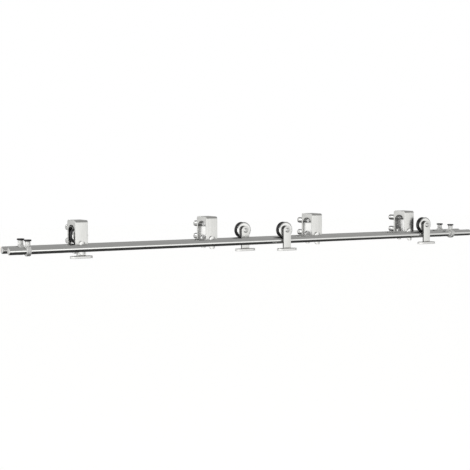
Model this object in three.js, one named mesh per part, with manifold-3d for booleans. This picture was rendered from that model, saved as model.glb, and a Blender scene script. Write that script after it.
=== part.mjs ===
// Bypass sliding-door kit: two parallel round rails on four arch brackets, four roller hangers.
// Millimetres. Origin on the wall plane at mid-length, at the height of the rail axes.
// +X runs along the rails, +Y into the wall, +Z up. The room is on the -Y side.
import * as THREE from 'three';
import { mergeGeometries, mergeVertices } from 'three/addons/utils/BufferGeometryUtils.js';
import Module from 'manifold-3d';

// ---- rails ----
const RAIL_LENGTH = 2000;
const RAIL_R = 12.5;
const RAIL_WALL = 1.5;
const CAP_THICK = 2;
const CAP_PLUG = 14;

// ---- arch brackets ----
const BRACKET_X = [-0.366, -0.11, 0.123, 0.35].map((share) => share * RAIL_LENGTH);
const ARCH_WIDTH = 46;
const ARCH_DEPTH = 72;
const LEG_THICK = 6;
const CROWN_THICK = 16.5;
const ARCH_CLEAR = 9.2;
const LEG_BOTTOM = -12;
const OUTER_CORNER_R = 8;
const INNER_CORNER_R = 27;
const EDGE_BREAK = 0.8;

// ---- wall standoffs and their screws ----
const STANDOFF_LENGTH = 50;
const STANDOFF_R = 11;
const WALL_SCREW_R = 4;
const WALL_SCREW_HEAD_R = 7;
const WALL_SCREW_HEAD_H = 5;

// ---- fits ----
const FIT = 0.3;
const HOLE_FIT = 0.25;

// ---- saddles between leg and rail ----
const SADDLE_THICK = 8;
const SADDLE_WIDTH = 24;
const SADDLE_HEIGHT = 47.5;
const SADDLE_GROOVE = 0.5;
const RAIL_SCREW_R = 3;

// ---- roller hangers ----
const WHEEL_R = 30;
const WHEEL_GROOVE = 4;
const WHEEL_WIDTH = 20;
const COVER_R = 29;
const COVER_THICK = 2;
const AXLE_R = 5;
const AXLE_HEAD_R = 9;
const AXLE_HEAD_H = 4;
const BUSH_LENGTH = 3;
const STRAP_WIDTH = 32;
const STRAP_THICK = 8;
const BASE_LENGTH = 82;
const BASE_WIDTH = 30;
const BASE_THICK = 8;
const BASE_TOP = -29.5;
const WELD = 3;
const HANGERS = [
  ['rear_left', true, -0.3615 * RAIL_LENGTH],
  ['rear_right', true, -0.031 * RAIL_LENGTH],
  ['front_left', false, 0.0405 * RAIL_LENGTH],
  ['front_right', false, 0.37825 * RAIL_LENGTH],
];

// ---- end stops ----
const STOP_INSET_LEFT = 65;
const STOP_INSET_RIGHT = 100;
const COLLAR_R = RAIL_R + 6;
const COLLAR_WIDTH = 15;
const STEM_R = 9;
const STEM_TOP = COLLAR_R + 13.5;
const BUMPER_R = 12.75;
const BUMPER_THICK = 5;

// ---- derived positions ----
const LEG_BACK_Y = -STANDOFF_LENGTH;
const REAR_LEG_FACE = LEG_BACK_Y - LEG_THICK;
const FRONT_LEG_FACE = LEG_BACK_Y - ARCH_DEPTH;
const RAIL_OFFSET = SADDLE_THICK - SADDLE_GROOVE + FIT + RAIL_R;
const REAR_RAIL_Y = REAR_LEG_FACE - RAIL_OFFSET;
const FRONT_RAIL_Y = FRONT_LEG_FACE - RAIL_OFFSET;
const ROLLING_R = WHEEL_R - WHEEL_GROOVE;
const AXLE_Z = RAIL_R + FIT + ROLLING_R;
const STRAP_BACK = WHEEL_WIDTH / 2 + COVER_THICK + BUSH_LENGTH;
const ARCH_TOP = AXLE_Z + WHEEL_R + ARCH_CLEAR + CROWN_THICK;
const STANDOFF_Z = [RAIL_R + 6, ARCH_TOP - 29];
const STOPS = [
  ['left', -RAIL_LENGTH / 2 + STOP_INSET_LEFT],
  ['right', RAIL_LENGTH / 2 - STOP_INSET_RIGHT],
];

const wasm = await Module();
wasm.setup();

// ---- materials ----
const steel = (color, roughness) => () =>
  new THREE.MeshStandardMaterial({ color, roughness, metalness: 1 });
const brushed = steel(0xc9cac8, 0.3);
const polished = steel(0xd6d7d5, 0.18);
const zinc = steel(0xb4b6b8, 0.35);
const nylon = () => new THREE.MeshStandardMaterial({ color: 0x141414, roughness: 0.45, metalness: 0 });
const rubber = () => new THREE.MeshStandardMaterial({ color: 0x1a1a1a, roughness: 0.8, metalness: 0 });

// ---- solid helpers ----
function solid(geometry) {
  const bare = new THREE.BufferGeometry();
  bare.setAttribute('position', geometry.getAttribute('position').clone());
  if (geometry.index) bare.setIndex(geometry.index.clone());
  const merged = mergeVertices(bare, 1e-4);
  return new wasm.Manifold(new wasm.Mesh({
    numProp: 3,
    vertProperties: new Float32Array(merged.getAttribute('position').array),
    triVerts: new Uint32Array(merged.index.array),
  }));
}

function toGeometry(manifold) {
  const mesh = manifold.getMesh();
  const geometry = new THREE.BufferGeometry();
  geometry.setAttribute('position', new THREE.BufferAttribute(new Float32Array(mesh.vertProperties), 3));
  geometry.setIndex(new THREE.BufferAttribute(new Uint32Array(mesh.triVerts), 1));
  const flat = geometry.toNonIndexed();
  flat.computeVertexNormals();
  return flat;
}

// A turned shape: profile is [radius, height] from bottom to top, closed on itself or on the axis.
function turned(profile, axis, x, y, z, segments = 18) {
  const points = profile.map(([r, h]) => new THREE.Vector2(r, h));
  const geometry = new THREE.LatheGeometry(points, segments);
  if (axis === 'x') geometry.rotateZ(-Math.PI / 2);
  if (axis === 'z') geometry.rotateX(Math.PI / 2);
  geometry.translate(x, y, z);
  return solid(geometry);
}

function rod(radius, from, to, axis, x, y, z, segments = 16) {
  return turned([[0, from], [radius, from], [radius, to], [0, to]], axis, x, y, z, segments);
}

function tube(inner, outer, from, to, axis, x, y, z, segments = 32) {
  const profile = [[inner, from], [outer, from], [outer, to], [inner, to], [inner, from]];
  return turned(profile, axis, x, y, z, segments);
}

// Extrudes a closed outline drawn in (u, v) by depth along the third axis, with broken edges.
function plate(shape, depth, broken, curveSegments = 6) {
  return new THREE.ExtrudeGeometry(shape, {
    depth: depth - 2 * broken,
    bevelEnabled: broken > 0,
    bevelThickness: broken,
    bevelSize: broken,
    bevelOffset: -broken,
    bevelSegments: 1,
    curveSegments,
  }).translate(0, 0, broken);
}

function stadium(length, width) {
  const r = width / 2;
  const half = length / 2 - r;
  const shape = new THREE.Shape();
  shape.moveTo(-half, -r);
  shape.lineTo(half, -r);
  shape.absarc(half, 0, r, -Math.PI / 2, Math.PI / 2, false);
  shape.lineTo(-half, r);
  shape.absarc(-half, 0, r, Math.PI / 2, 1.5 * Math.PI, false);
  return shape;
}

const group = new THREE.Group();
group.name = 'bypass_door_hardware';

function add(name, manifold, material) {
  const mesh = new THREE.Mesh(toGeometry(manifold), material());
  mesh.name = name;
  group.add(mesh);
}

const legs = [
  ['rear', REAR_LEG_FACE, REAR_RAIL_Y],
  ['front', FRONT_LEG_FACE, FRONT_RAIL_Y],
];

// ---- rails: thin tubes with a tapped hole at each saddle, closed by plugged caps ----
for (const [side, , railY] of legs) {
  let rail = tube(RAIL_R - RAIL_WALL, RAIL_R, -RAIL_LENGTH / 2, RAIL_LENGTH / 2, 'x', 0, railY, 0, 40);
  for (const x of BRACKET_X) {
    rail = rail.subtract(rod(RAIL_SCREW_R - 0.4, 4, RAIL_R + 2, 'y', x, railY, 0, 12));
  }
  add(`rail_${side}`, rail, polished);
  for (const [end, sign] of [['left', -1], ['right', 1]]) {
    const bore = RAIL_R - RAIL_WALL - HOLE_FIT;
    const profile = [
      [0, -CAP_PLUG],
      [bore - 1, -CAP_PLUG],
      [bore, -CAP_PLUG + 1],
      [bore, 0],
      [RAIL_R, 0],
      [RAIL_R, CAP_THICK - 1],
      [RAIL_R - 1, CAP_THICK],
      [0, CAP_THICK],
    ];
    const points = sign > 0 ? profile : profile.map(([r, h]) => [r, -h]).reverse();
    add(`end_cap_${side}_${end}`, turned(points, 'x', sign * RAIL_LENGTH / 2, railY, 0), brushed);
  }
}

// ---- arch bracket outline in (depth, height): outer rounded box less a round-topped opening ----
function archOutline() {
  const back = 0;
  const front = ARCH_DEPTH;
  const inBack = LEG_THICK;
  const inFront = ARCH_DEPTH - LEG_THICK;
  const inTop = ARCH_TOP - CROWN_THICK;
  const outer = OUTER_CORNER_R;
  const inner = INNER_CORNER_R;
  const shape = new THREE.Shape();
  shape.moveTo(back, LEG_BOTTOM);
  shape.lineTo(inBack, LEG_BOTTOM);
  shape.lineTo(inBack, inTop - inner);
  shape.absarc(inBack + inner, inTop - inner, inner, Math.PI, Math.PI / 2, true);
  shape.absarc(inFront - inner, inTop - inner, inner, Math.PI / 2, 0, true);
  shape.lineTo(inFront, LEG_BOTTOM);
  shape.lineTo(front, LEG_BOTTOM);
  shape.lineTo(front, ARCH_TOP - outer);
  shape.absarc(front - outer, ARCH_TOP - outer, outer, 0, Math.PI / 2, false);
  shape.lineTo(back + outer, ARCH_TOP);
  shape.absarc(back + outer, ARCH_TOP - outer, outer, Math.PI / 2, Math.PI, false);
  return shape;
}

function archBracket(x) {
  const geometry = plate(archOutline(), ARCH_WIDTH, EDGE_BREAK);
  // Drawn (depth, height, width): turn depth toward -Y, height to +Z, width along X.
  geometry.applyMatrix4(new THREE.Matrix4().set(
    0, 0, -1, x + ARCH_WIDTH / 2,
    -1, 0, 0, LEG_BACK_Y,
    0, 1, 0, 0,
    0, 0, 0, 1,
  ));
  let body = solid(geometry);
  const inside = REAR_LEG_FACE;
  for (const z of STANDOFF_Z) {
    body = body.subtract(rod(WALL_SCREW_R + HOLE_FIT, inside - 1, LEG_BACK_Y + 1, 'y', x, 0, z));
    body = body.subtract(rod(WALL_SCREW_HEAD_R + 0.6, inside - 24, inside, 'y', x, 0, z));
  }
  for (const [, face] of legs) {
    const legBack = face + LEG_THICK;
    body = body.subtract(rod(RAIL_SCREW_R + HOLE_FIT, face - 1, legBack + 1, 'y', x, 0, 0, 16));
    const sink = [[0, -3.2], [RAIL_SCREW_R, -3.2], [6.4, 0.2], [6.4, 1], [0, 1]];
    body = body.subtract(turned(sink, 'y', x, legBack, 0, 16));
  }
  return body;
}

// ---- saddle: half-barrel pad cut to a stadium outline, grooved for the rail ----
function saddle(x, face, railY, wallScrew) {
  const half = SADDLE_WIDTH / 2;
  const crownR = (half * half + SADDLE_THICK * SADDLE_THICK) / (2 * SADDLE_THICK);
  const outline = plate(stadium(SADDLE_HEIGHT, SADDLE_WIDTH), SADDLE_THICK + 2, 0);
  // Drawn (height, width, thickness): turn height to +Z, width to +X, thickness to -Y.
  outline.applyMatrix4(new THREE.Matrix4().set(
    0, -1, 0, x,
    0, 0, -1, face,
    1, 0, 0, 0,
    0, 0, 0, 1,
  ));
  const barrel = rod(crownR, -40, 40, 'z', x, face - SADDLE_THICK + crownR, 0, 28);
  let pad = solid(outline).intersect(barrel);
  pad = pad.subtract(rod(RAIL_R + FIT, -20, 20, 'x', x, railY, 0, 48));
  pad = pad.subtract(rod(RAIL_SCREW_R + HOLE_FIT, face - 20, face + 1, 'y', x, 0, 0, 16));
  if (wallScrew) {
    const z = STANDOFF_Z[0];
    pad = pad.subtract(rod(WALL_SCREW_HEAD_R + 0.6, face - 20, face + 1, 'y', x, 0, z));
    pad = pad.subtract(rod(WALL_SCREW_HEAD_R + 0.6, face - 20, face + 1, 'y', x, 0, z + 8));
  }
  return pad;
}

function wallScrew(x, z) {
  const head = REAR_LEG_FACE - WALL_SCREW_HEAD_H;
  const tip = LEG_BACK_Y + STANDOFF_LENGTH - 0.5;
  const profile = [
    [0, head + 2.5],
    [3, head + 2.5],
    [3, head],
    [WALL_SCREW_HEAD_R - 1, head],
    [WALL_SCREW_HEAD_R, head + 1],
    [WALL_SCREW_HEAD_R, REAR_LEG_FACE],
    [WALL_SCREW_R, REAR_LEG_FACE],
    [WALL_SCREW_R, tip],
    [0, tip],
  ];
  return turned(profile, 'y', x, 0, z, 14);
}

function standoff(x, z) {
  const bore = WALL_SCREW_R + HOLE_FIT;
  const profile = [
    [bore, LEG_BACK_Y],
    [STANDOFF_R - 0.7, LEG_BACK_Y],
    [STANDOFF_R, LEG_BACK_Y + 0.7],
    [STANDOFF_R, -0.7],
    [STANDOFF_R - 0.7, 0],
    [bore, 0],
    [bore, LEG_BACK_Y],
  ];
  return turned(profile, 'y', x, 0, z, 20);
}

BRACKET_X.forEach((x, i) => {
  const n = i + 1;
  add(`arch_bracket_${n}`, archBracket(x), brushed);
  ['lower', 'upper'].forEach((place, k) => {
    add(`wall_standoff_${n}_${place}`, standoff(x, STANDOFF_Z[k]), polished);
    add(`wall_screw_${n}_${place}`, wallScrew(x, STANDOFF_Z[k]), zinc);
  });
  for (const [side, face, railY] of legs) {
    add(`rail_saddle_${n}_${side}`, saddle(x, face, railY, side === 'rear'), brushed);
  }
});

// ---- roller hangers: strap welded to a base plate, grooved wheel with a steel cover, pivot bolt ----
function hangerPlate(x, railY) {
  const strapFace = railY - STRAP_BACK;
  const strapY = strapFace - STRAP_THICK / 2;
  const r = STRAP_WIDTH / 2;
  const outline = new THREE.Shape();
  outline.moveTo(-r, BASE_TOP - 1);
  outline.lineTo(r, BASE_TOP - 1);
  outline.lineTo(r, AXLE_Z);
  outline.absarc(0, AXLE_Z, r, 0, Math.PI, false);
  const strap = plate(outline, STRAP_THICK, 0.5, 12).rotateX(Math.PI / 2);
  strap.translate(x, strapFace, 0);
  const base = plate(stadium(BASE_LENGTH, BASE_WIDTH), BASE_THICK, 0.6);
  base.translate(x, strapY, BASE_TOP - BASE_THICK);
  let body = solid(strap).add(solid(base));
  for (const sign of [-1, 1]) {
    const bead = new THREE.Shape();
    bead.moveTo(0, -0.5);
    bead.lineTo(WELD, -0.5);
    bead.lineTo(WELD, 0);
    bead.quadraticCurveTo(WELD * 0.3, WELD * 0.3, 0, WELD);
    bead.lineTo(-0.5, WELD);
    bead.lineTo(-0.5, -0.5);
    const length = STRAP_WIDTH - 2;
    const geometry = new THREE.ExtrudeGeometry(bead, { depth: length, bevelEnabled: false, curveSegments: 2 });
    geometry.applyMatrix4(new THREE.Matrix4().set(
      0, 0, -sign, x + sign * length / 2,
      -sign, 0, 0, strapY - sign * STRAP_THICK / 2,
      0, 1, 0, BASE_TOP,
      0, 0, 0, 1,
    ));
    body = body.add(solid(geometry));
  }
  body = body.subtract(rod(AXLE_R + FIT, strapFace - 20, strapFace + 1, 'y', x, 0, AXLE_Z));
  for (const dx of [-28, 28]) {
    for (const dy of [-8.5, 8.5]) {
      const bottom = BASE_TOP - BASE_THICK;
      const hole = [[0, -1], [2.6, -1], [2.6, 5], [5, BASE_THICK - 0.4], [5, 9], [0, 9]];
      body = body.subtract(turned(hole, 'z', x + dx, strapY + dy, bottom, 10));
    }
  }
  return body;
}

// The groove follows the rail with clearance, between two narrow rims.
function wheelSolid(x, railY) {
  const half = WHEEL_WIDTH / 2;
  const grooveR = RAIL_R + FIT;
  const rimY = Math.sqrt(grooveR ** 2 - (AXLE_Z - WHEEL_R) ** 2);
  const bore = AXLE_R + FIT;
  const profile = [
    [bore, -half],
    [WHEEL_R - 0.4, -half],
    [WHEEL_R, -half + 0.3],
  ];
  const steps = 5;
  for (let i = 0; i <= steps; i += 1) {
    const y = rimY * (2 * i / steps - 1);
    profile.push([AXLE_Z - Math.sqrt(grooveR ** 2 - y ** 2), y]);
  }
  profile.push([WHEEL_R, half - 0.3], [WHEEL_R - 0.4, half], [17, half], [17, half - 1.5]);
  profile.push([bore, half - 1.5], [bore, -half]);
  return turned(profile, 'y', x, railY, AXLE_Z, 32);
}

function coverDisc(x, railY) {
  const back = -WHEEL_WIDTH / 2;
  const front = -WHEEL_WIDTH / 2 - COVER_THICK;
  const bore = AXLE_R + FIT;
  const profile = [
    [bore, front],
    [COVER_R - 1.2, front],
    [COVER_R, front + 1.2],
    [COVER_R, back],
    [bore, back],
    [bore, front],
  ];
  return turned(profile, 'y', x, railY, AXLE_Z, 28);
}

// Pivot bolt: head on the strap, shoulder bush between strap and wheel, nut-sized collar behind.
function pivotBolt(x, railY) {
  const strapBack = -STRAP_BACK;
  const strapFront = strapBack - STRAP_THICK;
  const back = WHEEL_WIDTH / 2;
  const profile = [
    [0, strapFront - AXLE_HEAD_H + 2],
    [3.5, strapFront - AXLE_HEAD_H + 2],
    [3.5, strapFront - AXLE_HEAD_H],
    [AXLE_HEAD_R - 2, strapFront - AXLE_HEAD_H],
    [AXLE_HEAD_R, strapFront - AXLE_HEAD_H + 2],
    [AXLE_HEAD_R, strapFront],
    [AXLE_R, strapFront],
    [AXLE_R, strapBack],
    [AXLE_R + 3, strapBack],
    [AXLE_R + 3, strapBack + BUSH_LENGTH - FIT],
    [AXLE_R, strapBack + BUSH_LENGTH - FIT],
    [AXLE_R, back + FIT],
    [AXLE_R + 3, back + FIT],
    [AXLE_R + 3, back + 4],
    [AXLE_R + 2, back + 5],
    [0, back + 5],
  ];
  return turned(profile, 'y', x, railY, AXLE_Z, 14);
}

for (const [name, isRear, x] of HANGERS) {
  const railY = isRear ? REAR_RAIL_Y : FRONT_RAIL_Y;
  add(`hanger_${name}`, hangerPlate(x, railY), brushed);
  add(`wheel_${name}`, wheelSolid(x, railY), nylon);
  add(`wheel_cover_${name}`, coverDisc(x, railY), polished);
  add(`pivot_bolt_${name}`, pivotBolt(x, railY), zinc);
}

// ---- end stops: collar around the rail with a stem carrying a rubber bumper disc ----
function stopCollar(x, railY) {
  const half = COLLAR_WIDTH / 2;
  const bore = RAIL_R + FIT;
  const profile = [
    [0, -half],
    [COLLAR_R - 1, -half],
    [COLLAR_R, -half + 1],
    [COLLAR_R, half - 1],
    [COLLAR_R - 1, half],
    [0, half],
  ];
  const ring = turned(profile, 'x', x, railY, 0, 28);
  const stem = rod(STEM_R, 0, STEM_TOP, 'z', x, railY, 0);
  const clear = rod(bore, -half - 5, half + 5, 'x', x, railY, 0, 28);
  const setScrew = rod(2, -COLLAR_R - 2, -bore + 1, 'z', x, railY, 0, 12);
  return ring.add(stem).subtract(clear).subtract(setScrew);
}

function bumper(x, railY) {
  const top = STEM_TOP + BUMPER_THICK;
  const profile = [
    [0, STEM_TOP],
    [BUMPER_R - 0.8, STEM_TOP],
    [BUMPER_R, STEM_TOP + 0.8],
    [BUMPER_R, top - 1.5],
    [BUMPER_R - 1.5, top],
    [4, top],
    [4, top - 2],
    [0, top - 2],
  ];
  return turned(profile, 'z', x, railY, 0, 20);
}

for (const [side, , railY] of legs) {
  for (const [end, x] of STOPS) {
    add(`stop_collar_${side}_${end}`, stopCollar(x, railY), brushed);
    add(`stop_bumper_${side}_${end}`, bumper(x, railY), rubber);
  }
}

export default group;
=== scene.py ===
import math

import bmesh
import bpy
import numpy as np
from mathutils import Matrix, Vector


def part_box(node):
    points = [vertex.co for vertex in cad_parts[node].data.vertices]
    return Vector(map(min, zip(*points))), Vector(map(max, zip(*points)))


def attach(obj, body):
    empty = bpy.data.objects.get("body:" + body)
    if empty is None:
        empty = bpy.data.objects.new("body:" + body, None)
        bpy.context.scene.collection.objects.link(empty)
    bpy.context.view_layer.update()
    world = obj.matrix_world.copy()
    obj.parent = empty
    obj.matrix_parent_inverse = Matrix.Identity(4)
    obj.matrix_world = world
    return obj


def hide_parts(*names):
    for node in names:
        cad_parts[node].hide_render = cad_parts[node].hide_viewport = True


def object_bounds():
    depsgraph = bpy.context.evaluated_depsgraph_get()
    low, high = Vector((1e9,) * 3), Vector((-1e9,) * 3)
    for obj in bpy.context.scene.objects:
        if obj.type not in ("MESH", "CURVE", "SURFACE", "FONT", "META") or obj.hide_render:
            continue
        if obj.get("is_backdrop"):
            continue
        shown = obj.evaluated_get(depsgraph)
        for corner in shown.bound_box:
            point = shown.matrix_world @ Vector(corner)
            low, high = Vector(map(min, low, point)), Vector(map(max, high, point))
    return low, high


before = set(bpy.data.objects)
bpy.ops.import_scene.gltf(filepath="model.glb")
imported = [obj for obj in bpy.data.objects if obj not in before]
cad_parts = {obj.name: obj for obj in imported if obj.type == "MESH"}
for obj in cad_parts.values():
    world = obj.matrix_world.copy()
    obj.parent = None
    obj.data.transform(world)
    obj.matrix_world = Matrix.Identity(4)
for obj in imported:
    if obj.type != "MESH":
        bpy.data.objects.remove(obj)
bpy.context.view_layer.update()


LOOKS_DOWN = 3.672
LOOKS_RIGHT = 30.876
camera_data = bpy.data.cameras.new("camera")
camera_data.sensor_width = 36.0
camera_data.lens = 89.03
camera_data.clip_start = 0.05
camera_data.clip_end = 200.0
camera = bpy.data.objects.new("camera", camera_data)
camera.location = (-2.317, -3.793, 0.299)
camera.rotation_euler = (math.radians(90.0 - LOOKS_DOWN), 0.0, math.radians(-LOOKS_RIGHT))
bpy.context.scene.collection.objects.link(camera)
bpy.context.scene.camera = camera
bpy.context.scene.view_settings.view_transform = "Standard"


# Two soft lamps add highlights.
def emission_material(name, colour, strength):
    """A surface that only glows."""
    material = bpy.data.materials.new(name)
    material.use_nodes = True
    nodes = material.node_tree.nodes
    nodes.clear()
    glow = nodes.new("ShaderNodeEmission")
    glow.inputs["Color"].default_value = (*colour, 1.0)
    glow.inputs["Strength"].default_value = strength
    out = nodes.new("ShaderNodeOutputMaterial")
    material.node_tree.links.new(glow.outputs["Emission"], out.inputs["Surface"])
    return material


def stage_mesh(name, vertices, faces, material):
    mesh = bpy.data.meshes.new(name)
    mesh.from_pydata(vertices, [], faces)
    mesh.materials.append(material)
    piece = bpy.data.objects.new(name, mesh)
    bpy.context.scene.collection.objects.link(piece)
    piece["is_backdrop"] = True
    return piece


def hide_from_light(piece):
    """Leaves a piece for the camera alone: it gives no light, reflection or shadow."""
    piece.visible_diffuse = False
    piece.visible_glossy = False
    piece.visible_transmission = False
    piece.visible_shadow = False


COVE_REACH = 60.0
reach = (-COVE_REACH, COVE_REACH)
corners = [(x, y, z) for x in reach for y in reach for z in reach]
sides = [(0, 1, 3, 2), (4, 6, 7, 5), (0, 4, 5, 1), (2, 3, 7, 6), (0, 2, 6, 4), (1, 5, 7, 3)]
cove = stage_mesh("cove", corners, sides, emission_material("cove_white", (1, 1, 1), 1.0))
hide_from_light(cove)

floor_material = bpy.data.materials.new("pale_floor")
floor_material.use_nodes = True
floor_shader = floor_material.node_tree.nodes["Principled BSDF"]
floor_shader.inputs["Base Color"].default_value = (0.9, 0.9, 0.9, 1.0)
floor_shader.inputs["Roughness"].default_value = 0.9
floor_shader.inputs["Emission Color"].default_value = (1.0, 1.0, 1.0, 1.0)
floor_shader.inputs["Emission Strength"].default_value = 0.63
FLOOR_REACH = 50.0
FLOOR_Z = -3.0
ways = [(-1, -1), (1, -1), (1, 1), (-1, 1)]
floor_corners = [(x * FLOOR_REACH, y * FLOOR_REACH, FLOOR_Z) for x, y in ways]
floor = stage_mesh("floor", floor_corners, [(0, 1, 2, 3)], floor_material)
floor.visible_glossy = False
floor.visible_diffuse = False


def tent_sum(tree, *terms):
    """Adds weighted sockets: each term is a socket and its weight."""
    total = None
    for socket, weight in terms:
        step = tree.nodes.new("ShaderNodeMath")
        step.operation = "MULTIPLY_ADD"
        step.inputs[1].default_value = weight
        tree.links.new(socket, step.inputs[0])
        if total is None:
            step.inputs[2].default_value = 0.0
        else:
            tree.links.new(total, step.inputs[2])
        total = step.outputs[0]
    return total


def tent_ramp(tree, socket, stops):
    """Reads brightness off a list of (value, brightness) stops, in a straight line between them."""
    low_stop, high_stop = stops[0][0], stops[-1][0]
    spread = tree.nodes.new("ShaderNodeMapRange")
    spread.inputs["From Min"].default_value = low_stop
    spread.inputs["From Max"].default_value = high_stop
    tree.links.new(socket, spread.inputs["Value"])
    ramp = tree.nodes.new("ShaderNodeValToRGB")
    elements = ramp.color_ramp.elements
    while len(elements) < len(stops):
        elements.new(0.5)
    for element, (value, grey) in zip(elements, stops):
        element.position = (value - low_stop) / (high_stop - low_stop)
        element.color = (grey, grey, grey, 1.0)
    tree.links.new(spread.outputs["Result"], ramp.inputs["Fac"])
    return ramp.outputs["Color"]


# The wall is brightest towards the near left. Its band runs from just under the rails' height to
# a little above it, and the soft light fills in the rest.
WALL_LIGHT = 1.35
WALL_TOWARDS_Y = -0.72
WALL_TOWARDS_X = -0.69
WALL_STOPS = [(-1.0, 0.0), (1.0, 1.0)]
BAND_STOPS = [(-1.0, 0.0), (-0.46, 0.0), (-0.36, 1.0), (0.12, 1.0), (0.2, 0.0), (1.0, 0.0)]
SOFT_STOPS = [(-1.0, 0.05), (-0.45, 0.05), (-0.3, 0.3), (0.0, 0.4), (1.0, 0.38)]
world = bpy.data.worlds.new("light_tent")
world.use_nodes = True
bpy.context.scene.world = world
tent = world.node_tree
tent.nodes.clear()
direction = tent.nodes.new("ShaderNodeTexCoord")
way = tent.nodes.new("ShaderNodeSeparateXYZ")
tent.links.new(direction.outputs["Generated"], way.inputs[0])
around = tent_sum(
    tent, (way.outputs["Y"], WALL_TOWARDS_Y), (way.outputs["X"], WALL_TOWARDS_X)
)
wall = tent_ramp(tent, around, WALL_STOPS)
band = tent_ramp(tent, way.outputs["Z"], BAND_STOPS)
wall_light = tent.nodes.new("ShaderNodeMath")
wall_light.operation = "MULTIPLY"
tent.links.new(wall, wall_light.inputs[0])
tent.links.new(band, wall_light.inputs[1])
soft = tent_ramp(tent, way.outputs["Z"], SOFT_STOPS)
total_light = tent_sum(tent, (wall_light.outputs[0], WALL_LIGHT), (soft, 1.0))
sky = tent.nodes.new("ShaderNodeBackground")
tent_out = tent.nodes.new("ShaderNodeOutputWorld")
tent.links.new(total_light, sky.inputs["Strength"])
tent.links.new(sky.outputs["Background"], tent_out.inputs["Surface"])
sky.inputs["Color"].default_value = (1.0, 1.0, 0.985, 1.0)


def soft_light(name, place, target, size, power):
    """A rectangular softbox at place that faces target."""
    data = bpy.data.lights.new(name, "AREA")
    data.shape = "RECTANGLE"
    data.size, data.size_y = size
    data.energy = power
    light = bpy.data.objects.new(name, data)
    light.location = place
    aim = np.array(target) - np.array(place)
    light.rotation_euler = (
        math.atan2(math.hypot(aim[0], aim[1]), -aim[2]),
        0.0,
        math.atan2(aim[1], aim[0]) - math.pi / 2,
    )
    light.visible_camera = False
    bpy.context.scene.collection.objects.link(light)


KIT_MIDDLE = (0, -0.1, 0)
soft_light("key", (-3.4, -1.6, 1.9), KIT_MIDDLE, (1.8, 1.8), 45)
soft_light("rim", (-1.6, 3.6, 1.6), KIT_MIDDLE, (0.9, 0.9), 9)


# ---- Rails --------------------------------------------------------------------------------------
# Two lengths of 25 mm stainless tube, drawn, welded and belt polished, so very fine polishing
# lines run round them. Each is screwed to its saddles from behind.
MM = 0.001
SHARP_ANGLE = 32.0


def build(name, vertices, quads, material, sharp=SHARP_ANGLE):
    """Puts a computed grid into a mesh, merges its doubled points and marks its sharp edges."""
    mesh = bpy.data.meshes.new(name)
    mesh.from_pydata(np.asarray(vertices).tolist(), [], [list(q) for q in quads])
    work = bmesh.new()
    work.from_mesh(mesh)
    bmesh.ops.remove_doubles(work, verts=work.verts, dist=1e-7)
    bmesh.ops.dissolve_degenerate(work, edges=work.edges, dist=1e-8)
    bmesh.ops.recalc_face_normals(work, faces=work.faces)
    work.to_mesh(mesh)
    work.free()
    mesh.shade_smooth()
    mesh.set_sharp_from_angle(angle=math.radians(sharp))
    mesh.materials.append(material)
    piece = bpy.data.objects.new(name, mesh)
    bpy.context.scene.collection.objects.link(piece)
    return piece


def fit(piece, body, slot, *nodes):
    """Makes a finished piece ride on its body and stand for its CAD nodes."""
    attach(piece, body)
    if nodes:
        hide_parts(*nodes)


def eased(profile, radius=0.4, steps=3):
    """Rounds each inner corner of a profile: the corner is replaced by points of the quadratic
    curve whose control point it is, which starts and ends one radius (or less) away from it."""
    points = np.asarray(profile, float)
    softened = [points[0]]
    for before, corner, after in zip(points[:-2], points[1:-1], points[2:]):
        into, out = before - corner, after - corner
        a, b = np.linalg.norm(into[:2]), np.linalg.norm(out[:2])
        if min(a, b) < 1e-9 or corner[0] < 1e-9:
            softened.append(corner)
            continue
        reach_in = min(radius, 0.45 * a) / a
        reach_out = min(radius, 0.45 * b) / b
        t = np.linspace(0.0, 1.0, steps + 1)[:, None]
        start, end = corner + into * reach_in, corner + out * reach_out
        softened.extend((1 - t) ** 2 * start + 2 * t * (1 - t) * corner + t * t * end)
    softened.append(points[-1])
    return np.array(softened)


def grid_quads(rows, count):
    """Faces of a grid whose rows are closed rings of count points: each joins a point, the next
    one round, and the same two in the next row."""
    ring = np.arange(count)
    after = (ring + 1) % count
    row = np.arange(rows - 1)[:, None] * count
    corners = [row + ring, row + after, row + count + after, row + count + ring]
    return np.stack(corners, axis=-1).reshape(-1, 4)


def turned(name, profile, centre, axis, material, around=72):
    """A turned surface. Each profile point (radius, height, sides) is carried round the axis:
    across it by radius times cosine and sine of the angle, along it by height. Where sides is 1
    the ring is a hexagon, whose radius is the flat's distance over the cosine of the angle from
    the middle of that flat. Sizes in mm, centre in metres."""
    points = np.asarray(profile, float)
    if points.shape[1] == 2:
        points = np.column_stack([points, np.zeros(len(points))])
    angle = np.arange(around) * 2 * np.pi / around
    from_flat = np.mod(angle, np.pi / 3) - np.pi / 6
    hexagon = 1.0 / np.cos(from_flat)
    stretch = 1.0 + points[:, 2:3] * (hexagon[None, :] - 1.0)
    radius = points[:, 0:1] * stretch
    u = radius * np.cos(angle)
    v = radius * np.sin(angle)
    h = np.repeat(points[:, 1:2], around, axis=1)
    places = {"x": (h, u, v), "y": (v, h, u), "z": (u, v, h)}[axis]
    grid = np.stack(places, axis=-1).reshape(-1, 3) * MM + np.asarray(centre)
    return build(name, grid, grid_quads(len(points), around), material)


def noise(tree, vector, scale, **inputs):
    """A noise texture on a vector, with its scale and any other inputs set."""
    texture = tree.nodes.new("ShaderNodeTexNoise")
    texture.inputs["Scale"].default_value = scale
    for socket, value in inputs.items():
        texture.inputs[socket].default_value = value
    tree.links.new(vector, texture.inputs["Vector"])
    return texture.outputs["Fac"]


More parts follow.
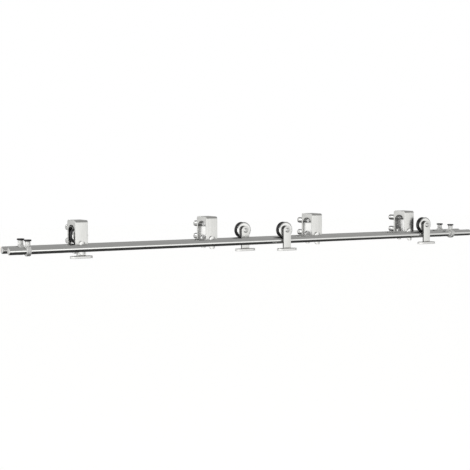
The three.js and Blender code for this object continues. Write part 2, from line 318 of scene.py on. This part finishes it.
def stretched(tree, value, low, high, to_low, to_high):
    """Carries a value from one range to another, in a straight line."""
    step = tree.nodes.new("ShaderNodeMapRange")
    ends = {"From Min": low, "From Max": high, "To Min": to_low, "To Max": to_high}
    for socket, number in ends.items():
        step.inputs[socket].default_value = number
    tree.links.new(value, step.inputs["Value"])
    return step.outputs["Result"]


def tinted(tree, shader, value, colour, darkest, lightest):
    """Base colour that goes from a darkest to a lightest share of colour as value rises."""
    tint = tree.nodes.new("ShaderNodeMix")
    tint.data_type = "RGBA"
    tint.inputs["A"].default_value = (*[c * darkest for c in colour], 1.0)
    tint.inputs["B"].default_value = (*[c * lightest for c in colour], 1.0)
    tree.links.new(value, tint.inputs["Factor"])
    tree.links.new(tint.outputs["Result"], shader.inputs["Base Color"])


def bumped(tree, shader, height, strength, distance):
    """Bump from a height, at most distance metres deep."""
    bump = tree.nodes.new("ShaderNodeBump")
    bump.inputs["Strength"].default_value = strength
    bump.inputs["Distance"].default_value = distance
    tree.links.new(height, bump.inputs["Height"])
    tree.links.new(bump.outputs["Normal"], shader.inputs["Normal"])


def steel(name, colour, rough, grain, depth=0.1, smudge=0.05):
    """Stainless steel: a bare metal whose gloss and height follow a stretched noise for the lines
    that polishing left, and whose gloss also drifts with a slow cloudy noise for handling marks."""
    material = bpy.data.materials.new(name)
    material.use_nodes = True
    tree = material.node_tree
    shader = tree.nodes["Principled BSDF"]
    shader.inputs["Metallic"].default_value = 1.0
    place = tree.nodes.new("ShaderNodeTexCoord").outputs["Object"]
    stretch = tree.nodes.new("ShaderNodeMapping")
    stretch.inputs["Scale"].default_value = grain
    tree.links.new(place, stretch.inputs["Vector"])
    lines = noise(tree, stretch.outputs["Vector"], 1.0, Detail=4.0, Roughness=0.65)
    clouds = noise(tree, place, 22.0, Detail=3.0)
    gloss = tree.nodes.new("ShaderNodeMath")
    gloss.operation = "ADD"
    line_gloss = stretched(tree, lines, 0.3, 0.7, rough * 0.75, rough * 1.25)
    tree.links.new(line_gloss, gloss.inputs[0])
    tree.links.new(stretched(tree, clouds, 0.35, 0.75, 0.0, smudge), gloss.inputs[1])
    tree.links.new(gloss.outputs["Value"], shader.inputs["Roughness"])
    tinted(tree, shader, clouds, colour, 0.93, 1.0)
    bumped(tree, shader, lines, depth, 0.0002)
    return material


def middle(node):
    """The middle of a CAD node's box, in metres."""
    low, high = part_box(node)
    return (np.array(low) + np.array(high)) / 2


RAIL_R = 12.5
RAIL_WALL = 1.5
polished_tube = steel("polished_tube", (0.80, 0.80, 0.79), 0.13, (900.0, 40.0, 40.0), 0.05)
SIDES = ("rear", "front")
for side in SIDES:
    low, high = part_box(f"rail_{side}")
    half = (high[0] - low[0]) / 2 / MM
    bore = RAIL_R - RAIL_WALL
    inside = [(bore, -half), (RAIL_R, -half), (RAIL_R, half), (bore, half)]
    wall = eased([(bore, 0)] + inside + [(bore, 0)], 0.3, 2)
    rail = turned(f"rail_tube_{side}", wall, middle(f"rail_{side}"), "x", polished_tube, 96)
    fit(rail, "rail_frame", "polished_steel", f"rail_{side}")


# ---- End caps -----------------------------------------------------------------------------------
# Turned stainless plugs pressed into the tube ends, with a slightly domed face and a fine groove
# where the cap meets the tube.
cap_steel = steel("cap_steel", (0.76, 0.76, 0.75), 0.2, (60.0, 700.0, 700.0), 0.06)
CAP_FACE = 2.0
CAP_PLUG = 14.0
PLUG_R = 10.7
CAP_R = 12.45
GROOVE = 0.15
for side in SIDES:
    for end, way in (("left", -1), ("right", 1)):
        low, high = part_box(f"rail_{side}")
        at = middle(f"rail_{side}")
        at[0] = low[0] if way < 0 else high[0]
        profile = [(0, -CAP_PLUG), (PLUG_R - 0.5, -CAP_PLUG), (PLUG_R, -CAP_PLUG + 1)]
        profile += [(PLUG_R, GROOVE), (CAP_R - 0.25, GROOVE), (CAP_R, GROOVE + 0.25)]
        profile += [(CAP_R, CAP_FACE - 0.9), (CAP_R - 1.05, CAP_FACE - 0.25)]
        profile += [(6, CAP_FACE - 0.05), (0, CAP_FACE)]
        shape = [(r, way * h) for r, h in eased(profile, 0.35)]
        name = f"end_cap_{side}_{end}"
        cap = turned(f"tube_plug_{side}_{end}", shape, at, "x", cap_steel, 64)
        fit(cap, "rail_frame", "brushed_plate", name)


# ---- Arch brackets ------------------------------------------------------------------------------
# Each is an inverted U of stainless plate with broken edges, brushed up and down outside. A
# round-topped way goes through it, polished inside and given painted light: its faces have a
# lighter colour than the plate, to brighten the inside. The rear leg takes two wall screws.
def outline_rings(outline, thick, edge, steps=4):
    """Rings of a plate with rounded edges. The outline is moved inwards along its own normals by
    edge times one less the sine of the turn, and set back by edge times one less the cosine."""
    loop = np.asarray(outline, float)
    ahead = np.roll(loop, -1, axis=0) - loop
    ahead /= np.linalg.norm(ahead, axis=1, keepdims=True)
    behind = np.roll(ahead, 1, axis=0)
    along = ahead + behind
    along /= np.linalg.norm(along, axis=1, keepdims=True)
    inward = np.column_stack([-along[:, 1], along[:, 0]])
    mitre = 1.0 / np.maximum(0.5, np.sum(along * ahead, axis=1, keepdims=True))
    turn = np.linspace(0, np.pi / 2, steps + 1)
    inset = edge * (1 - np.sin(turn))
    depth = edge * (1 - np.cos(turn))
    rings = [(loop + inward * mitre * i, d) for i, d in zip(inset, depth)]
    rings += [(loop + inward * mitre * i, thick - d) for i, d in zip(inset[::-1], depth[::-1])]
    return rings


def plate(name, outline, thick, edge, place, material):
    """A plate cut to an outline that runs anticlockwise, with rounded edges. place turns the two
    outline coordinates and the depth into x, y and z in mm."""
    rings = outline_rings(outline, thick, edge)
    count = len(rings[0][0])
    flat = np.concatenate([np.column_stack([loop, np.full(count, depth)]) for loop, depth in rings])
    vertices = np.asarray(place(flat[:, 0], flat[:, 1], flat[:, 2])).T * MM
    last = (len(rings) - 1) * count
    ends = [list(range(count))[::-1], list(range(last, last + count))]
    return build(name, vertices, list(grid_quads(len(rings), count)) + ends, material)


def arc(centre, radius, start, stop, steps):
    """Points on an arc between two angles given in quarter turns."""
    angle = np.linspace(start, stop, steps + 1) * np.pi / 2
    return np.column_stack([centre[0] + radius * np.cos(angle), centre[1] + radius * np.sin(angle)])


def cut(piece, *tools):
    """Cuts tools out of a piece and throws the tools away."""
    for tool in tools:
        step = piece.modifiers.new("cut", "BOOLEAN")
        step.operation = "DIFFERENCE"
        step.solver = "EXACT"
        step.object = tool
    bpy.context.view_layer.update()
    depsgraph = bpy.context.evaluated_depsgraph_get()
    mesh = bpy.data.meshes.new_from_object(piece.evaluated_get(depsgraph))
    piece.modifiers.clear()
    old, piece.data = piece.data, mesh
    bpy.data.meshes.remove(old)
    mesh.set_sharp_from_angle(angle=math.radians(SHARP_ANGLE))
    for tool in tools:
        spent = tool.data
        bpy.data.objects.remove(tool)
        bpy.data.meshes.remove(spent)


def drill(radius, start, stop, centre):
    """A closed cylinder along y to cut with, from start to stop mm off its centre."""
    profile = [(0, start), (radius, start), (radius, stop), (0, stop)]
    return turned("drill", profile, centre, "y", plate_steel, 48)


def repaint_faces(piece, material, pick):
    """Gives a second material to the faces that pick chooses from their middles (m) and normals:
    here painted light inside the arch ways and painted shade on the strap's side faces.
    """
    mesh = piece.data
    centres = np.empty(len(mesh.polygons) * 3)
    normals = np.empty(len(mesh.polygons) * 3)
    mesh.polygons.foreach_get("center", centres)
    mesh.polygons.foreach_get("normal", normals)
    chosen = pick(centres.reshape(-1, 3), normals.reshape(-1, 3))
    mesh.materials.append(material)
    mesh.polygons.foreach_set("material_index", chosen.astype(np.int32))
    mesh.update()


plate_steel = steel("brushed_plate_upright", (0.71, 0.71, 0.695), 0.28, (700.0, 700.0, 14.0), 0.12)
# Painted light: the way's faces are coloured lighter (0.90) than the plate (0.71) to brighten the
# inside of the arch.
painted_light_way_steel = steel("polished_way_painted_light", (0.90, 0.90, 0.89), 0.2, (700.0, 120.0, 120.0), 0.04, 0.03)
LEG = 6.0
CROWN = 16.5
OUTER_R = 8.0
INNER_R = 27.0
PLATE_EDGE = 0.9
WALL_HEAD_R = 7.0
SEAT_R = WALL_HEAD_R + 0.6
MARGIN = 0.2
brackets = []
for number in range(1, 5):
    node = f"arch_bracket_{number}"
    low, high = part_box(node)
    centre_x = middle(node)[0] / MM
    width = (high[0] - low[0]) / MM
    depth = (high[1] - low[1]) / MM
    top, foot, back = high[2] / MM, low[2] / MM, high[1] / MM
    spring = top - CROWN - INNER_R
    way_front, way_back = depth - LEG, LEG
    outline = np.concatenate([
        [(0, foot), (way_back, foot)],
        arc((way_back + INNER_R, spring), INNER_R, 2, 1, 20),
        arc((way_front - INNER_R, spring), INNER_R, 1, 0, 20),
        [(way_front, foot), (depth, foot)],
        arc((depth - OUTER_R, top - OUTER_R), OUTER_R, 0, 1, 12),
        arc((OUTER_R, top - OUTER_R), OUTER_R, 1, 2, 12),
    ])
    start_x = centre_x - width / 2
    bracket = plate(
        f"arch_plate_{number}", outline, width, PLATE_EDGE,
        lambda u, v, w, x=start_x, b=back: (x + w, b - u, v), plate_steel,
    )
    seats = []
    for place in ("lower", "upper"):
        screw = middle(f"wall_screw_{number}_{place}")
        at = (screw[0], (back - LEG) * MM, screw[2])
        seats.append(drill(SEAT_R, -30, 0, at))
    cut(bracket, *seats)
    way_y = ((back - way_front - MARGIN) * MM, (back - way_back + MARGIN) * MM)
    way_top = (top - CROWN + MARGIN) * MM
    # Painted light: the faces inside the way, up to its crown, take the lighter colour.
    repaint_faces(
        bracket, painted_light_way_steel,
        lambda c, n, y=way_y, z=way_top: (
            (np.abs(n[:, 0]) < 0.5) & (c[:, 1] > y[0]) & (c[:, 1] < y[1]) & (c[:, 2] < z)
        ),
    )
    fit(bracket, "rail_frame", "brushed_plate", node)
    brackets.append((number, centre_x * MM))


# ---- Wall standoffs -----------------------------------------------------------------------------
# Turned stainless spacers that hold the rear leg clear of the wall, bored for the wall screw, with
# a chamfer at each end.
standoff_steel = steel("turned_standoff", (0.70, 0.70, 0.69), 0.16, (260.0, 1200.0, 260.0), 0.06)
STANDOFF_BORE_R = 4.4
CHAMFER = 0.8
for number, x in brackets:
    for place in ("lower", "upper"):
        node = f"wall_standoff_{number}_{place}"
        low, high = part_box(node)
        at = middle(node)
        length = (high[1] - low[1]) / MM
        r = (high[2] - low[2]) / MM / 2
        near, wall = -length / 2, length / 2
        profile = [(STANDOFF_BORE_R, near), (r - CHAMFER, near), (r, near + CHAMFER)]
        profile += [(r, wall - CHAMFER), (r - CHAMFER, wall), (STANDOFF_BORE_R, wall)]
        profile += [(STANDOFF_BORE_R, near)]
        name = f"wall_spacer_{number}_{place}"
        spacer = turned(name, eased(profile, 0.3, 2), at, "y", standoff_steel)
        fit(spacer, "rail_frame", "polished_steel", node)


# ---- Wall screws --------------------------------------------------------------------------------
# Socket-head screws through the rear leg and the standoff into the wall. The head is turned, with
# a hexagonal socket and a small chamfer.
screw_steel = steel("screw_steel", (0.70, 0.70, 0.70), 0.26, (500.0, 60.0, 500.0), 0.08)
WALL_HEAD_H = 5.0
SHANK_R = 4.0
SOCKET = 2.9
for number, x in brackets:
    for place in ("lower", "upper"):
        node = f"wall_screw_{number}_{place}"
        low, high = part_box(node)
        at = middle(node)
        length = (high[1] - low[1]) / MM
        head, tip = -length / 2, length / 2
        rim, under = WALL_HEAD_R - 0.05, head + WALL_HEAD_H
        profile = [(0, head + 2.6, 0), (SOCKET, head + 2.6, 1), (SOCKET, head + 0.3, 1)]
        profile += [(SOCKET + 0.4, head, 0), (rim - 0.85, head, 0), (rim, head + 0.9, 0)]
        profile += [(rim, under - 0.1, 0), (SHANK_R, under, 0), (SHANK_R, tip - 1, 0)]
        profile += [(SHANK_R - 0.8, tip, 0), (0, tip, 0)]
        screw = turned(f"socket_screw_{number}_{place}", profile, at, "y", screw_steel, 48)
        fit(screw, "rail_frame", "zinc_screws", node)


# ---- Rail saddles -------------------------------------------------------------------------------
# Half-barrel pads milled from stainless bar, long ways up, each with a shallow groove where the
# rail sits. The rear ones are notched at the top round the head of the lower wall screw.
RAIL_FIT = 0.3


def saddle_pad(name, node, rail_node, material):
    """The pad's outline is a circle pulled apart along z. Ring by ring it shrinks to its middle
    line, and at each point it is as thick as the barrel: the crown radius' height over the chord,
    or the distance from the leg to the rail's own circle where that is less."""
    low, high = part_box(node)
    rail = middle(rail_node)
    leg_y = high[1] / MM
    x0 = middle(node)[0] / MM
    half_w, half_h, crown = 12.0, 23.75, 8.0
    barrel = (half_w**2 + crown**2) / (2 * crown)
    shift = half_h - half_w
    straight = np.linspace(-1, 1, 25)[1:-1] * shift
    turn = np.linspace(0, np.pi, 37)
    flat, bend = np.ones(len(straight)), np.ones(len(turn))
    ends_x = np.concatenate([np.cos(turn), -flat, -np.cos(turn), flat])
    ends_z = np.concatenate([np.sin(turn), flat * 0, -np.sin(turn), flat * 0])
    slide = np.concatenate([bend * shift, -straight, bend * -shift, straight])
    share = np.concatenate([np.linspace(0, 0.9, 13), np.linspace(0.92, 1, 7)])[:, None]
    x = share * ends_x * half_w
    z = share * ends_z * half_w + slide
    arch = np.sqrt(np.maximum(barrel**2 - x**2, 0)) - (barrel - crown)
    reach_r = RAIL_R + RAIL_FIT
    to_rail = (leg_y - rail[1] / MM) - np.sqrt(np.maximum(reach_r**2 - z**2, 0))
    thick = np.where(np.abs(z) < reach_r, np.minimum(arch, to_rail), arch)
    x = np.vstack([x, x[-1:], x[::-1]])
    z = np.vstack([z, z[-1:], z[::-1]])
    y = np.vstack([thick, thick[-1:] * 0, thick[::-1] * 0])
    grid = np.stack([x + x0, leg_y - np.maximum(y, 0), z], axis=-1).reshape(-1, 3) * MM
    return build(name, grid, grid_quads(*x.shape), material, 30.0)


saddle_steel = steel("milled_saddle", (0.68, 0.68, 0.67), 0.24, (500.0, 500.0, 20.0), 0.1)
NOTCH_RISE = 0.008
for number, x in brackets:
    for side in SIDES:
        node = f"rail_saddle_{number}_{side}"
        pad = saddle_pad(f"saddle_pad_{number}_{side}", node, f"rail_{side}", saddle_steel)
        if side == "rear":
            screw = middle(f"wall_screw_{number}_lower")
            leg_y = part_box(node)[1][1]
            at = (screw[0], leg_y, screw[2])
            over = (screw[0], leg_y, screw[2] + NOTCH_RISE)
            cut(pad, drill(SEAT_R, -20, 1, at), drill(SEAT_R, -20, 1, over))
        fit(pad, "rail_frame", "brushed_plate", node)


# ---- Rail screws --------------------------------------------------------------------------------
# Countersunk screws from behind each leg, through the saddle into a tapped hole in the tube. Only
# the flat head with its hexagonal socket shows, a hair proud of the leg's back face.
RAIL_SHANK_R = 2.9
RAIL_HEAD_R = 5.9
TIP = -20
PROUD = 0.05
for number, x in brackets:
    for side in SIDES:
        leg_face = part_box(f"rail_saddle_{number}_{side}")[1][1]
        at = (x, leg_face + LEG * MM, middle(f"rail_{side}")[2])
        profile = [(0, TIP, 0), (RAIL_SHANK_R - 0.5, TIP, 0), (RAIL_SHANK_R, TIP + 1, 0)]
        profile += [(RAIL_SHANK_R, -3.4, 0), (RAIL_HEAD_R, -0.5, 0), (RAIL_HEAD_R, PROUD, 0)]
        profile += [(2.3, PROUD, 0), (2.0, -0.2, 1), (2.0, -2.4, 1), (0, -2.6, 0)]
        screw = turned(f"rail_screw_{number}_{side}", profile, at, "y", screw_steel, 48)
        fit(screw, "rail_frame", "zinc_screws")


# ---- Hangers ------------------------------------------------------------------------------------
# A flat stainless strap with a round top, its side faces given painted shade (a dark colour for the
# shadow between strap and wheel), welded upright on a flat base plate with round ends that is
# screwed to the door's top edge through four countersunk holes.
def stadium(length, width, steps=20):
    """Outline of a bar with round ends, anticlockwise."""
    r = width / 2
    half = length / 2 - r
    return np.concatenate([arc((half, 0), r, -1, 1, steps), arc((-half, 0), r, 1, 3, steps)])


WELD_THROAT = 2.5


def weld_bead(name, at, length, way, material):
    """A fillet weld. Its section is a quarter circle between the two plates, and its radius is
    the throat plus a ripple that follows the sine of the distance along the seam, times a fade
    that closes it at both ends: the root of one less the eighth power of the way to the end."""
    along = np.linspace(-length / 2, length / 2, 110)[:, None]
    turn = np.linspace(0, np.pi / 2, 9)[None, :]
    fade = np.sqrt(np.clip(1 - np.abs(along / (length / 2)) ** 8, 0, 1))
    throat = (WELD_THROAT + 0.2 * np.sin(along * 2.4)) * fade
    buried = np.full_like(along, -0.5)
    out = np.hstack([buried, throat, throat * np.cos(turn), buried])
    up = np.hstack([buried, buried, throat * np.sin(turn), throat])
    x = np.repeat(along, out.shape[1], axis=1)
    grid = np.stack([x, way * -out, up], axis=-1).reshape(-1, 3) * MM + np.asarray(at)
    down, across = out.shape
    ends = [list(range(across))[::-1], list(range((down - 1) * across, down * across))]
    return build(name, grid, list(grid_quads(down, across)) + ends, material, 50.0)


# Painted shade: the strap's side faces are coloured dark (0.22) to stand in for the shadow between
# strap and wheel.
painted_shade_edge_steel = steel("strap_edge_painted_shade", (0.22, 0.22, 0.22), 0.4, (300.0, 60.0, 300.0), 0.15)
strap_steel = steel("brushed_strap", (0.71, 0.71, 0.695), 0.24, (800.0, 800.0, 16.0), 0.12)
base_steel = steel("brushed_base", (0.68, 0.68, 0.67), 0.24, (16.0, 800.0, 800.0), 0.08)
weld_steel = steel("weld_bead", (0.55, 0.54, 0.52), 0.34, (300.0, 300.0, 300.0), 0.25)
STRAP_HALF = 16.0
STRAP_THICK = 8.0
STRAP_EDGE = 0.5
BASE_WIDTH = 30.0
BASE_THICK = 8.0
BASE_EDGE = 0.8
DOOR_SCREW_X = 28
DOOR_SCREW_Y = 8.5
door_screw_hole = [(0, -1), (2.6, -1), (2.6, 5.2), (4.9, 7.7), (4.9, 10), (0, 10)]
hangers = []
for name in ("rear_left", "rear_right", "front_left", "front_right"):
    node = f"hanger_{name}"
    low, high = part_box(node)
    wheel = middle(f"wheel_{name}")
    x0 = middle(node)[0] / MM
    strap_mid = middle(node)[1] / MM
    axle_z = wheel[2] / MM
    base_low = low[2] / MM
    base_high = base_low + BASE_THICK
    outline = np.concatenate([
        [(-STRAP_HALF, base_high - 1), (STRAP_HALF, base_high - 1)],
        arc((0, axle_z), STRAP_HALF, 0, 2, 48),
    ])
    strap = plate(
        f"strap_{name}", outline, STRAP_THICK, STRAP_EDGE,
        lambda u, v, w, x=x0, y=strap_mid: (x + u, y + STRAP_THICK / 2 - w, v), strap_steel,
    )
    # Painted shade: the strap's side faces take the dark colour.
    repaint_faces(strap, painted_shade_edge_steel, lambda c, n: np.abs(n[:, 1]) < 0.35)
    body = f"hanger_body_{name}"
    fit(strap, body, "brushed_plate", node)
    length = (high[0] - low[0]) / MM
    base = plate(
        f"base_plate_{name}", stadium(length, BASE_WIDTH), BASE_THICK, BASE_EDGE,
        lambda u, v, w, x=x0, y=strap_mid, z=base_low: (x + u, y + v, z + w), base_steel,
    )
    holes = []
    for dx in (-DOOR_SCREW_X, DOOR_SCREW_X):
        for dy in (-DOOR_SCREW_Y, DOOR_SCREW_Y):
            at = ((x0 + dx) * MM, (strap_mid + dy) * MM, base_low * MM)
            holes.append(turned("drill", door_screw_hole, at, "z", base_steel, 32))
    cut(base, *holes)
    fit(base, body, "brushed_plate")
    for way, face in ((1, "front"), (-1, "back")):
        at = (x0 * MM, (strap_mid - way * STRAP_THICK / 2) * MM, base_high * MM)
        bead = weld_bead(f"weld_{face}_{name}", at, 2 * STRAP_HALF - 2, way, weld_steel)
        fit(bead, body, "brushed_plate")
    hangers.append((name, body, wheel, strap_mid))


# ---- Wheels -------------------------------------------------------------------------------------
# Black nylon, turned, with a groove that fits the tube between two narrow rims, and a recess in
# the back for the bearing.
def plastic(name, colour, rough, speckle, depth):
    """Moulded plastic or rubber: a dark body with a fine speckle in its colour and height, and
    a slower drift in its gloss."""
    material = bpy.data.materials.new(name)
    material.use_nodes = True
    tree = material.node_tree
    shader = tree.nodes["Principled BSDF"]
    place = tree.nodes.new("ShaderNodeTexCoord").outputs["Object"]
    grains = noise(tree, place, speckle, Detail=5.0)
    clouds = noise(tree, place, 60.0)
    gloss = stretched(tree, clouds, 0.3, 0.7, rough * 0.8, rough * 1.2)
    tree.links.new(gloss, shader.inputs["Roughness"])
    tinted(tree, shader, grains, colour, 0.6, 1.5)
    bumped(tree, shader, grains, depth, 0.0003)
    return material


nylon = plastic("black_nylon", (0.013, 0.013, 0.014), 0.36, 900.0, 0.12)
WHEEL_BORE_R = 5.3
BEARING_SEAT_R = 16.2
BEARING_DEPTH = 1.6
RIM_BREAK = 0.35
RING_DEPTH = 0.8
for name, body, wheel, strap_mid in hangers:
    low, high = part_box(f"wheel_{name}")
    rim = (high[2] - low[2]) / MM / 2
    half = (high[1] - low[1]) / MM / 2
    rail_z = middle("rail_rear")[2] / MM
    drop = wheel[2] / MM - rail_z
    seat = RAIL_R + RAIL_FIT
    edge = math.sqrt(seat**2 - (drop - rim) ** 2)
    across = np.linspace(-edge, edge, 25)
    groove = np.column_stack([drop - np.sqrt(seat**2 - across**2), across])
    floor_y = half - BEARING_DEPTH
    profile = [(WHEEL_BORE_R, -half), (rim - 0.5, -half), (rim, -half + RIM_BREAK)]
    profile += [tuple(p) for p in groove]
    profile += [(rim, half - RIM_BREAK), (rim - 0.5, half), (24, half), (23, half - RING_DEPTH)]
    profile += [(18, half - RING_DEPTH), (17, half), (BEARING_SEAT_R, half)]
    profile += [(BEARING_SEAT_R, floor_y), (WHEEL_BORE_R, floor_y), (WHEEL_BORE_R, -half)]
    tyre = turned(f"nylon_wheel_{name}", profile, wheel, "y", nylon, 96)
    fit(tyre, f"wheel_body_{name}", "black_nylon", f"wheel_{name}")


# ---- Wheel covers and bearings ------------------------------------------------------------------
# A spun stainless disc closes the front of each wheel, faintly ringed from the lathe, and a
# shielded ball bearing fills the back.
cover_steel = steel("spun_cover", (0.78, 0.78, 0.77), 0.16, (600.0, 30.0, 600.0), 0.05)
race_steel = steel("bearing_race", (0.62, 0.62, 0.62), 0.18, (400.0, 40.0, 400.0), 0.05)
COVER_BORE_R = 5.4
BEARING_BORE_R = 5.5
SHIELD = 0.6
RACE = 0.1
for name, body, wheel, strap_mid in hangers:
    low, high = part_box(f"wheel_cover_{name}")
    front = (low[1] - wheel[1]) / MM
    back = (high[1] - wheel[1]) / MM
    r = (high[2] - low[2]) / MM / 2
    profile = [(COVER_BORE_R, front + 0.3), (8, front + 0.1), (8.4, front + 0.5)]
    profile += [(9.4, front + 0.5), (9.8, front), (r - 3.2, front), (r - 2.8, front + 0.25)]
    profile += [(r - 2.2, front + 0.25), (r, front + 1.5), (r, back), (COVER_BORE_R, back)]
    profile += [(COVER_BORE_R, front + 0.3)]
    disc = turned(f"cover_disc_{name}", eased(profile, 0.3, 2), wheel, "y", cover_steel, 96)
    fit(disc, f"wheel_body_{name}", "polished_steel", f"wheel_cover_{name}")
    behind = (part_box(f"wheel_{name}")[1][1] - wheel[1]) / MM
    race, shield, inner = behind - RACE, behind - SHIELD, behind - 1.5
    profile = [(BEARING_BORE_R, inner), (BEARING_BORE_R, race), (7.6, race), (7.8, shield)]
    profile += [(13.2, shield), (13.4, race), (15.9, race), (15.9, inner)]
    profile += [(BEARING_BORE_R, inner)]
    bearing = turned(f"bearing_{name}", profile, wheel, "y", race_steel, 64)
    fit(bearing, f"wheel_body_{name}", "zinc_screws")


# ---- Pivot bolts --------------------------------------------------------------------------------
# A low button-head bolt through strap, bush and wheel, with a hexagonal nut on the back. It stays
# still in the strap while the wheel turns on it.
bolt_steel = steel("bolt_steel", (0.74, 0.74, 0.73), 0.42, (300.0, 60.0, 300.0), 0.06)
PIN_R = 5
HEAD_R = 8.9
BUSH_R = 7.9
BUSH_LENGTH = 2.6
NUT_FLAT = 6.5
NUT_HEIGHT = 4.6
STUB_R = 3.4
for name, body, wheel, strap_mid in hangers:
    low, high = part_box(f"pivot_bolt_{name}")
    front = (low[1] - wheel[1]) / MM
    back = (high[1] - wheel[1]) / MM
    strap_front = strap_mid - STRAP_THICK / 2 - wheel[1] / MM
    strap_back = strap_front + STRAP_THICK
    bush_end, nut_start = strap_back + BUSH_LENGTH, back - NUT_HEIGHT
    profile = [(0, front + 2, 0), (3, front + 2, 1), (3, front + 0.2, 1), (3.5, front, 0)]
    profile += [(6, front, 0), (8, front + 1.2, 0), (HEAD_R, front + 2.6, 0)]
    profile += [(HEAD_R, strap_front, 0), (PIN_R, strap_front, 0), (PIN_R, strap_back, 0)]
    profile += [(BUSH_R, strap_back, 0), (BUSH_R, bush_end, 0), (PIN_R, bush_end, 0)]
    profile += [(PIN_R, nut_start, 0), (NUT_FLAT, nut_start, 1), (NUT_FLAT, back - 0.6, 1)]
    profile += [(5.8, back - 0.3, 0), (STUB_R, back - 0.3, 0), (STUB_R, back, 0), (0, back, 0)]
    bolt = turned(f"button_bolt_{name}", profile, wheel, "y", bolt_steel, 60)
    fit(bolt, body, "zinc_screws", f"pivot_bolt_{name}")


# ---- End stops ----------------------------------------------------------------------------------
# A stainless ring slid on the tube and locked by a set screw from below. A short stem stands on it
# and carries a black rubber disc, held by a small screw, that the hanger's wheel meets.
stop_steel = steel("satin_stop", (0.88, 0.88, 0.87), 0.7, (90.0, 500.0, 500.0), 0.12)
rubber = plastic("black_rubber", (0.016, 0.016, 0.017), 0.62, 700.0, 0.3)
RING_BORE_R, RING_R, RING_HALF = 12.8, 18.5, 7.5
STEM_R = 9
DISC_R = 12.75
for side in SIDES:
    for end in ("left", "right"):
        at = middle(f"rail_{side}")
        low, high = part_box(f"stop_bumper_{side}_{end}")
        at[0] = (low[0] + high[0]) / 2
        foot = (low[2] - at[2]) / MM
        top = (high[2] - at[2]) / MM
        ring = [(RING_BORE_R, -RING_HALF), (RING_R, -RING_HALF), (RING_R, RING_HALF)]
        ring += [(RING_BORE_R, RING_HALF), (RING_BORE_R, -RING_HALF)]
        collar = turned(f"stop_ring_{side}_{end}", eased(ring, 1.0, 4), at, "x", stop_steel, 80)
        fit(collar, "rail_frame", "brushed_plate", f"stop_collar_{side}_{end}")
        root = RING_R - 1.3
        post = [(0, root), (STEM_R, root), (STEM_R, foot - 2), (STEM_R - 0.8, foot), (0, foot)]
        pillar = turned(f"stop_stem_{side}_{end}", eased(post, 0.5), at, "z", stop_steel, 56)
        fit(pillar, "rail_frame", "brushed_plate")
        puck = [(0, foot), (DISC_R - 0.75, foot), (DISC_R, foot + 0.8), (DISC_R, top - 1.3)]
        puck += [(DISC_R - 0.95, top), (4.2, top), (4.0, top - 2), (0, top - 2)]
        disc = turned(f"bumper_disc_{side}_{end}", eased(puck, 0.5), at, "z", rubber, 64)
        fit(disc, "rail_frame", "black_rubber", f"stop_bumper_{side}_{end}")
        head = [(0, top - 2.1, 0), (3.4, top - 2.1, 0), (3.4, top - 0.9, 0), (2.4, top - 0.2, 0)]
        head += [(1.5, top - 0.2, 0), (1.4, top - 0.4, 1), (1.4, top - 1.5, 1), (0, top - 1.5, 0)]
        pin = turned(f"bumper_screw_{side}_{end}", head, at, "z", screw_steel, 36)
        fit(pin, "rail_frame", "zinc_screws")
        grub = [(0, -13.0, 0), (1.9, -13.0, 0), (1.9, -18.0, 0), (1.2, -18.1, 0), (1.0, -18.0, 1)]
        grub += [(1.0, -16.5, 1), (0, -16.5, 0)]
        lock = turned(f"set_screw_{side}_{end}", grub, at, "z", screw_steel, 24)
        fit(lock, "rail_frame", "zinc_screws")


low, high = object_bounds()
